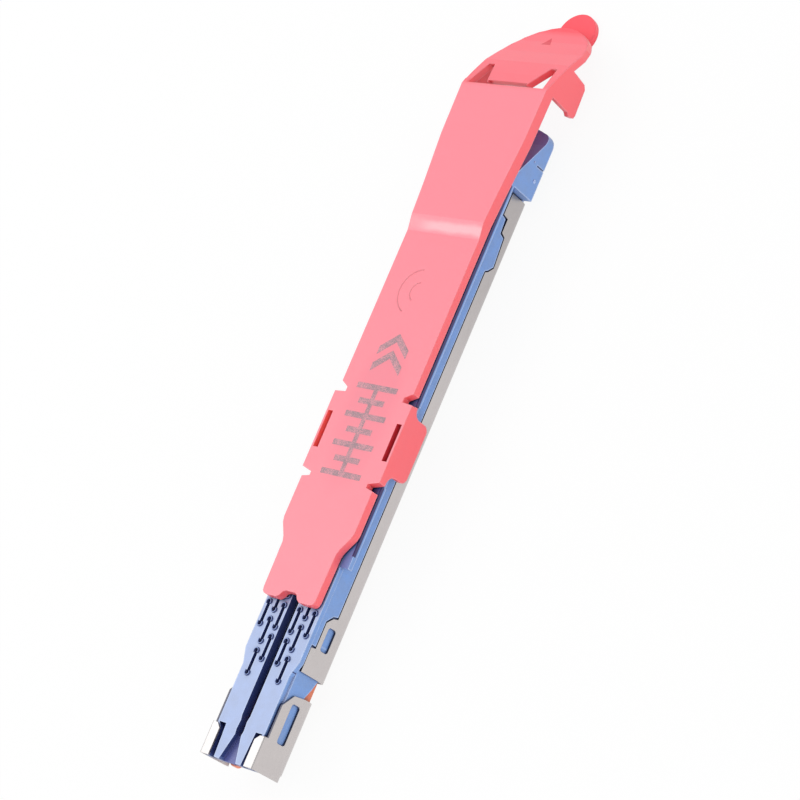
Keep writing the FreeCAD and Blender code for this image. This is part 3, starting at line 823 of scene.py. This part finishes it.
class Finishes:
    """All materials of the reload, made once."""

    def __init__(self, origin: Vector) -> None:
        """Make the materials.

        Args:
            origin: The reload's reference point, from which painted places are measured.
        """
        # In each finish the upper faces carry a painted sheen, the colour in recesses is painted
        # shade and the edge lines are painted highlights.
        self.body = BodyPlastic(
            "body_plastic", side=(120, 155, 212), lit_top=(160, 177, 216), roughness=0.34,
            mottle=0.17, mottle_size=1.5 * MM, origin=origin, recess_shade=(48, 58, 112),
            recess_range=(0.26, 0.74), highlight_share=0.7).build()
        # The cups' navy sides are painted shade on the body's blue plastic.
        self.cup = MouldedPlastic(
            "cup_plastic", side=(46, 58, 112), lit_top=(146, 168, 218), mottle=0.05,
            recess_shade=(40, 52, 104)).build()
        self.cap = CapPlastic(
            "cap_plastic", side=(250, 106, 114), lit_top=(247, 134, 147), roughness=0.34,
            mottle=0.02, mottle_size=6.0 * MM, grain_depth=0.002 * MM, edge=0.14 * MM,
            translucency=0.12, recess_shade=(120, 30, 48), recess_reach=0.8 * MM,
            recess_range=(0.12, 0.5), origin=origin, edge_highlight=(255, 164, 172),
            highlight_share=0.45).build()
        self.sled = MouldedPlastic(
            "sled_plastic", side=(230, 130, 98), lit_top=(240, 146, 114), mottle=0.05,
            recess_shade=(96, 34, 26), recess_reach=1.2 * MM, recess_range=(0.25, 0.75)).build()
        self.driver = MouldedPlastic(
            "driver_plastic", side=(84, 112, 178), lit_top=(96, 124, 188), mottle=0.05).build()
        self.pan = RolledSteel(origin=origin).build()
        self.staple = DrawnWire().build()
        self.ink = SpeckledInk().build()


class Form:
    """A mesh under construction."""

    def __init__(self) -> None:
        """Start an empty mesh."""
        self.mesh = bmesh.new()

    def skin(self, rings: Sequence[Sequence[Vector]]) -> None:
        """Join rings of points into one closed solid with a face at either end.

        Args:
            rings: Rings with the same number of points, in order.
        """
        rows = [[self.mesh.verts.new(p) for p in ring] for ring in rings]
        count = len(rows[0])
        for first, second in zip(rows, rows[1:]):
            for i in range(count):
                j = (i + 1) % count
                self.mesh.faces.new((first[i], first[j], second[j], second[i]))
        self.mesh.faces.new(rows[0][::-1])
        self.mesh.faces.new(rows[-1])

    def plate(self, outline: Sequence[Point], heights: Point) -> None:
        """Add a flat plate.

        Args:
            outline: x and y of its corners.
            heights: Lower and upper height.
        """
        self.skin([[Vector((x, y, z)) for x, y in outline] for z in heights])

    def bow(self, centre: Vector, radii: Point, angles: Point, profile: Sequence[Point],
            steps: int) -> None:
        """Sweep a profile round an arc.

        Args:
            centre: Centre of the arc, at the profile's zero height.
            radii: Inner and outer radius.
            angles: Start and end in radians, less than a full turn apart.
            profile: Share of the ring's width and height of each profile point.
            steps: Pieces along the arc.
        """
        inner, outer = radii
        turn = angles[1] - angles[0]
        rings = []
        for i in range(steps + 1):
            angle = angles[0] + turn * i / steps
            out = Vector((math.cos(angle), math.sin(angle), 0.0))
            rings.append([centre + out * (inner + (outer - inner) * share) + Vector((0, 0, height))
                          for share, height in profile])
        self.skin(rings)

    def release(self, name: str, material: bpy.types.Material, smooth: bool) -> bpy.types.Object:
        """Turn the mesh into an object of the scene.

        Args:
            name: The object's name.
            material: Its finish.
            smooth: Whether its faces are shaded smooth.

        Returns:
            The new object.
        """
        bmesh.ops.recalc_face_normals(self.mesh, faces=self.mesh.faces)
        data = bpy.data.meshes.new(name)
        self.mesh.to_mesh(data)
        self.mesh.free()
        for face in data.polygons:
            face.use_smooth = smooth
        data.materials.append(material)
        made = bpy.data.objects.new(name, data)
        bpy.context.scene.collection.objects.link(made)
        LOG.info("%s: %d faces", name, len(data.polygons))
        return made

    def finish(self, name: str, body: Rider, material: bpy.types.Material,
               smooth: bool = True) -> None:
        """Turn the mesh into a piece that rides on a body.

        Args:
            name: The piece's name.
            body: Body that it rides on.
            material: Its finish.
            smooth: Whether its faces are shaded smooth.
        """
        piece = self.release(name, material, smooth)
        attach(piece, body.value)
        LOG.info("%s rides on %s", name, body.value)


def dress(node: bpy.types.Object, material: bpy.types.Material) -> None:
    """Give a node of the frame its finish.

    Args:
        node: The node's object.
        material: Its finish.
    """
    node.data.materials.clear()
    node.data.materials.append(material)
    LOG.info("%s dressed in %s", node.name, material.name)


@dataclass(frozen=True)
class Datum:
    """Reference point of the reload and the limits of its body and plates.

    Attributes:
        origin: Middle of the pan's proximal end, at its underside.
        deck: Height of the staple deck.
        cap_top: Height of the cap's plate.
        nose: The body's distal end.
        flank: Half the body's width.
    """

    origin: Vector
    deck: float
    cap_top: float
    nose: float
    flank: float
    cap_plate: ClassVar[float] = 1.40 * MM

    @classmethod
    def of_frame(cls) -> Datum:
        """Read the places from the frame's boxes."""
        pan_low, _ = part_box("pan")
        low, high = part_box("cartridge_body")
        origin = Vector((pan_low.x, 0.0, pan_low.z))
        return cls(origin, high.z, high.z + cls.cap_plate, high.x, -low.y)

    def at(self, x: float, y: float, z: float) -> Vector:
        """Point at a distance from the pan's proximal end, its middle and its underside."""
        return self.origin + Vector((x, y, z))


@dataclass(frozen=True)
class Pip:
    """Round mark on the nose's side: its place from the nose and underside, and its radius."""

    x: float
    z: float
    radius: float


@dataclass(frozen=True)
class CartridgeBody:
    """The body's finish, the raised cups round its pockets and the marks on its nose.

    Attributes:
        node: The body's node.
        staples: The stations' staples.
        datum: Places of the frame.
        finishes: The materials.
        cup_radii: Inner and outer radius of a cup.
        cup_height: Its height over the deck.
        cup_root: How far it reaches into the deck.
        cup_half_turn: Half the angle that its C goes round.
        cup_steps: Pieces along the C.
        cup_profile: Share of its width and of its height.
        same_place: Distance within which two points of a staple are one.
        pips: Marks on each side of the nose.
        pip_profile: Share of a pip's radius and its height over the side.
        pip_corners: Corners of a pip's outline.
    """

    node: bpy.types.Object
    staples: Sequence[bpy.types.Object]
    datum: Datum
    finishes: Finishes
    cup_radii: Point = (0.27 * MM, 0.44 * MM)
    cup_height: float = 0.20 * MM
    cup_root: float = 0.03 * MM
    cup_half_turn: float = math.radians(128.0)
    cup_steps: int = 16
    cup_profile: tuple[Point, ...] = ((0.0, 0.8), (0.22, 1.0), (0.62, 0.94), (0.9, 0.6))
    same_place: float = 0.002 * MM
    pips: tuple[Pip, ...] = (
        Pip(-7.4 * MM, 2.3 * MM, 0.27 * MM),
        Pip(-5.4 * MM, 3.6 * MM, 0.12 * MM),
    )
    pip_profile: tuple[Point, ...] = (
        (1.0, -0.02 * MM), (1.0, 0.03 * MM), (0.7, 0.07 * MM), (0.25, 0.08 * MM),
    )
    pip_corners: int = 14

    def leg_pairs(self, staples: bpy.types.Object) -> list[tuple[Vector, Vector]]:
        """Find the two legs of each staple of a station.

        Args:
            staples: The station's staples, one loose part of the mesh each.

        Returns:
            Points on the leg axes at deck height, one pair for each staple.
        """
        mesh = bmesh.new()
        mesh.from_mesh(staples.data)
        bmesh.ops.remove_doubles(mesh, verts=mesh.verts, dist=self.same_place)
        seen = set()
        pairs = []
        for start in mesh.verts:
            if start in seen:
                continue
            seen.add(start)
            part = [start]
            for vert in part:
                for edge in vert.link_edges:
                    other = edge.other_vert(vert)
                    if other not in seen:
                        seen.add(other)
                        part.append(other)
            xs = [v.co.x for v in part]
            ys = [v.co.y for v in part]
            y = 0.5 * (min(ys) + max(ys))
            inset = 0.5 * (max(ys) - min(ys))
            pairs.append((Vector((min(xs) + inset, y, self.datum.deck)),
                          Vector((max(xs) - inset, y, self.datum.deck))))
        mesh.free()
        return pairs

    def cups(self, staples: bpy.types.Object) -> None:
        """Raise a C-shaped ridge round both ends of each pocket of a station.

        Args:
            staples: The station's staples, which mark the pockets' ends.
        """
        form = Form()
        ridge = [(share, rise * self.cup_height) for share, rise in self.cup_profile]
        profile = [(0.0, -self.cup_root), *ridge, (1.0, -self.cup_root)]
        for low, high in self.leg_pairs(staples):
            for centre, heading in ((low, math.pi), (high, 0.0)):
                angles = (heading - self.cup_half_turn, heading + self.cup_half_turn)
                form.bow(centre, self.cup_radii, angles, profile, self.cup_steps)
        name = staples.name.replace("staples", "pocket_cups")
        form.finish(name, Rider.CARTRIDGE, self.finishes.cup)

    def nose_marks(self) -> None:
        """Raise the two small moulded pips on each side of the nose."""
        form = Form()
        angles = [2.0 * math.pi * i / self.pip_corners for i in range(self.pip_corners)]
        for side in SIDES:
            for pip in self.pips:
                centre = Vector((self.datum.nose + pip.x, side * self.datum.flank,
                                 self.datum.origin.z + pip.z))
                form.skin([
                    [centre + Vector((pip.radius * share * math.cos(a), side * lift,
                                      pip.radius * share * math.sin(a))) for a in angles]
                    for share, lift in self.pip_profile])
        form.finish("nose_pips", Rider.CARTRIDGE, self.finishes.body)

    def build(self) -> None:
        """Dress the body and add its raised details."""
        dress(self.node, self.finishes.body)
        for staples in self.staples:
            self.cups(staples)
        self.nose_marks()


@dataclass(frozen=True)
class RetainingCap:
    """The cap's finish, its printed marks and the traces of its moulding.

    Attributes:
        node: The cap's node.
        datum: Places of the frame.
        finishes: The materials.
        ink_height: Height of the print over the plate.
        ink_root: How far it reaches into the plate.
        ring_centre_x: Middle of the gate's arcs.
        ring_radii: Their radii.
        ring_arc: Where they start and end.
        ring_half_width: Half the width of an arc.
        ring_profile: Share of its width and its height.
        ring_steps: Pieces along an arc.
        scale_x: Start and end of the printed scale.
        stem_half: Half the width of its stem.
        ticks: Number of ticks on each side.
        tick_half: Half the width of a tick.
        tick_reaches: Lengths of long and short ticks from the middle.
        chevron_x: Where the chevrons start.
        chevron_reach: Half a chevron's width.
        chevron_lead: How far its point leads.
        chevron_band: Thickness of its arms along x.
    """

    node: bpy.types.Object
    datum: Datum
    finishes: Finishes
    ink_height: float = 0.012 * MM
    ink_root: float = 0.01 * MM
    ring_centre_x: float = 60.0 * MM
    ring_radii: tuple[float, ...] = (1.26 * MM, 3.0 * MM)
    ring_arc: Point = (math.radians(10.0), math.radians(155.0))
    ring_half_width: float = 0.09 * MM
    ring_profile: tuple[Point, ...] = (
        (0.0, -0.01 * MM), (0.25, 0.025 * MM), (0.75, 0.025 * MM), (1.0, -0.01 * MM),
    )
    ring_steps: int = 40
    scale_x: Point = (35.6 * MM, 47.6 * MM)
    stem_half: float = 0.32 * MM
    ticks: int = 7
    tick_half: float = 0.36 * MM
    tick_reaches: Point = (3.2 * MM, 2.0 * MM)
    chevron_x: tuple[float, ...] = (49.2 * MM, 51.4 * MM)
    chevron_reach: float = 2.3 * MM
    chevron_lead: float = 1.9 * MM
    chevron_band: float = 1.1 * MM

    def mark(self, form: Form, outline: Sequence[Point]) -> None:
        """Add one printed shape to the plate.

        Args:
            form: Mesh that collects the print.
            outline: x from the pan's end and y of its corners.
        """
        at = [self.datum.at(x, y, 0.0) for x, y in outline]
        z = self.datum.cap_top
        form.plate([(p.x, p.y) for p in at], (z - self.ink_root, z + self.ink_height))

    def print_scale(self) -> None:
        """Print a plain scale: a stem with long and short ticks."""
        form = Form()
        start, end = self.scale_x
        stem = self.stem_half
        self.mark(form, [(start, -stem), (end, -stem), (end, stem), (start, stem)])
        half = self.tick_half
        for i in range(self.ticks):
            x = start + half + (end - start - 2.0 * half) * i / (self.ticks - 1)
            for side in SIDES:
                near = side * stem
                far = side * self.tick_reaches[i % 2]
                self.mark(form, [(x - half, near), (x + half, near),
                                 (x + half, far), (x - half, far)])
        form.finish("printed_scale", Rider.CAP, self.finishes.ink, smooth=False)

    def print_chevrons(self) -> None:
        """Print two chevrons that point to the nose."""
        form = Form()
        lead = self.chevron_lead
        band = self.chevron_band
        for x in self.chevron_x:
            for side in SIDES:
                far = side * self.chevron_reach
                self.mark(form, [(x, far), (x + lead, 0.0), (x + lead + band, 0.0),
                                 (x + band, far)])
        form.finish("printed_chevrons", Rider.CAP, self.finishes.ink, smooth=False)

    def witness_rings(self) -> None:
        """Raise the faint arcs that the moulding gate leaves on the plate."""
        form = Form()
        centre = self.datum.at(self.ring_centre_x, 0.0, 0.0)
        centre.z = self.datum.cap_top
        for radius in self.ring_radii:
            band = (radius - self.ring_half_width, radius + self.ring_half_width)
            form.bow(centre, band, self.ring_arc, self.ring_profile, self.ring_steps)
        form.finish("gate_rings", Rider.CAP, self.finishes.cap)

    def build(self) -> None:
        """Dress the cap and add its marks."""
        dress(self.node, self.finishes.cap)
        self.print_scale()
        self.print_chevrons()
        self.witness_rings()


@dataclass(frozen=True)
class Softbox:
    """Square lamp that faces the reload.

    Attributes:
        name: The lamp's name.
        direction: Way from the reload to the lamp.
        distance: How far away it is.
        side: Length of its side.
        radiance: How bright its face is.
    """

    name: str
    direction: Triple
    distance: float
    side: float
    radiance: float

    def build(self) -> None:
        """Make the lamp."""
        lamp = bpy.data.lights.new(self.name, "AREA")
        lamp.shape = "SQUARE"
        lamp.size = self.side
        lamp.energy = self.radiance * math.pi * self.side**2
        holder = bpy.data.objects.new(self.name, lamp)
        away = Vector(self.direction).normalized()
        holder.location = away * self.distance
        holder.rotation_mode = "QUATERNION"
        holder.rotation_quaternion = away.to_track_quat("Z", "Y")
        bpy.context.scene.collection.objects.link(holder)
        LOG.info("%s at %.2f m", self.name, self.distance)


@dataclass(frozen=True)
class Studio:
    """Floor, surroundings, lamps and the camera at the photograph's viewing angle.

    Attributes:
        datum: Places of the frame.
        camera_place: The camera's place, from the datum's origin.
        camera_aim: Point that it looks at, from the same origin.
        camera_roll: Turn about its line of sight.
        lens: Focal length in the sensor's unit.
        sensor: Width of the sensor.
        clip_start: Nearest distance that is drawn.
        floor_side: Length of the floor's side.
        floor_thickness: The floor's thickness.
        floor_white: Its colour.
        floor_roughness: Its roughness.
        floor_glow: Share of plain white where it is seen.
        surround: Strength of the light from all round.
        lamps: The lamps.
    """

    datum: Datum
    camera_place: Triple = (-28.01 * MM, -222.20 * MM, 242.85 * MM)
    camera_aim: Triple = (47.49 * MM, -0.71 * MM, 3.70 * MM)
    camera_roll: float = math.radians(53.28)
    lens: float = 126.27
    sensor: float = 36.0
    clip_start: float = 0.01
    floor_side: float = 4.0
    floor_thickness: float = 0.01
    floor_white: float = 0.86
    floor_roughness: float = 0.9
    floor_glow: float = 0.92
    surround: float = 0.95
    lamps: tuple[Softbox, ...] = (
        Softbox("rear_softbox", (-0.04, 0.66, 0.75), 0.60, 0.30, 2.4),
        Softbox("front_fill", (-0.55, -0.75, 0.35), 0.80, 0.60, 0.7),
    )

    def camera(self) -> None:
        """Make the camera."""
        scene = bpy.context.scene
        data = bpy.data.cameras.new("photo_camera")
        data.sensor_width = self.sensor
        data.lens = self.lens
        data.clip_start = self.clip_start
        camera = bpy.data.objects.new("photo_camera", data)
        place = self.datum.at(*self.camera_place)
        ahead = self.datum.at(*self.camera_aim) - place
        camera.location = place
        camera.rotation_mode = "QUATERNION"
        level = ahead.to_track_quat("-Z", "Y")
        camera.rotation_quaternion = level @ Quaternion((0.0, 0.0, 1.0), -self.camera_roll)
        scene.collection.objects.link(camera)
        scene.camera = camera
        scene.view_settings.view_transform = "Standard"

    @staticmethod
    def seen_rays(graph: Graph) -> Wire:
        """1 for camera, glossy and transmitted rays, 0 for the rest."""
        path = graph.node("ShaderNodeLightPath", {}, {})
        camera, glossy, transmitted = (
            Wire(graph, path.outputs[name])
            for name in ("Is Camera Ray", "Is Glossy Ray", "Is Transmission Ray"))
        return (camera + glossy + transmitted).at_most(1.0)

    def floor(self) -> None:
        """Make the pale floor, which keeps a soft shadow."""
        form = Form()
        half = 0.5 * self.floor_side
        outline = [(-half, -half), (half, -half), (half, half), (-half, half)]
        form.plate(outline, (-self.floor_thickness, 0.0))
        material, graph = new_material("studio_floor")
        matt = graph.add("ShaderNodeBsdfPrincipled", {}, {
            "Base Color": (self.floor_white,) * 3 + (1.0,),
            "Roughness": self.floor_roughness,
        })
        glow = graph.add("ShaderNodeEmission", {}, {"Color": WHITE, "Strength": 1.0})
        share = self.seen_rays(graph) * self.floor_glow
        both = graph.node("ShaderNodeMixShader", {}, {0: share, 1: matt, 2: glow})
        graph.close(both)
        form.release("studio_floor", material, smooth=False)

    def world(self) -> None:
        """Make the surroundings: white where they are seen, softer where they light."""
        world = bpy.data.worlds.new("studio_world")
        graph = Graph(world)
        lit = graph.add("ShaderNodeBackground", {}, {"Color": WHITE, "Strength": self.surround})
        seen = graph.add("ShaderNodeBackground", {}, {"Color": WHITE, "Strength": 1.0})
        by_camera = graph.add("ShaderNodeLightPath", {}, {}, "Is Camera Ray")
        both = graph.node("ShaderNodeMixShader", {}, {0: by_camera, 1: lit, 2: seen})
        graph.close(both, "ShaderNodeOutputWorld")
        bpy.context.scene.world = world

    def build(self) -> None:
        """Make everything round the object."""
        self.camera()
        self.floor()
        self.world()
        for lamp in self.lamps:
            lamp.build()


def numbered(nodes: dict[str, bpy.types.Object], stem: str) -> list[bpy.types.Object]:
    """Nodes whose name starts with a stem, in order.

    Args:
        nodes: The frame's nodes.
        stem: Start of the names.

    Returns:
        The matching objects.
    """
    return [nodes[name] for name in sorted(nodes) if name.startswith(stem)]


def main() -> None:
    """Load the frame and dress it."""
    logging.basicConfig(level=logging.INFO, format="%(name)s: %(message)s")
    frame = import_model()
    nodes = frame["nodes"]
    datum = Datum.of_frame()
    Studio(datum).build()
    finishes = Finishes(datum.origin)
    staples = numbered(nodes, "staples_")
    CartridgeBody(nodes["cartridge_body"], staples, datum, finishes).build()
    RetainingCap(nodes["retaining_cap"], datum, finishes).build()
    dress(nodes["pan"], finishes.pan)
    dress(nodes["sled"], finishes.sled)
    for node in numbered(nodes, "drivers_"):
        dress(node, finishes.driver)
    for node in staples:
        dress(node, finishes.staple)


if __name__ == "__main__":
    main()
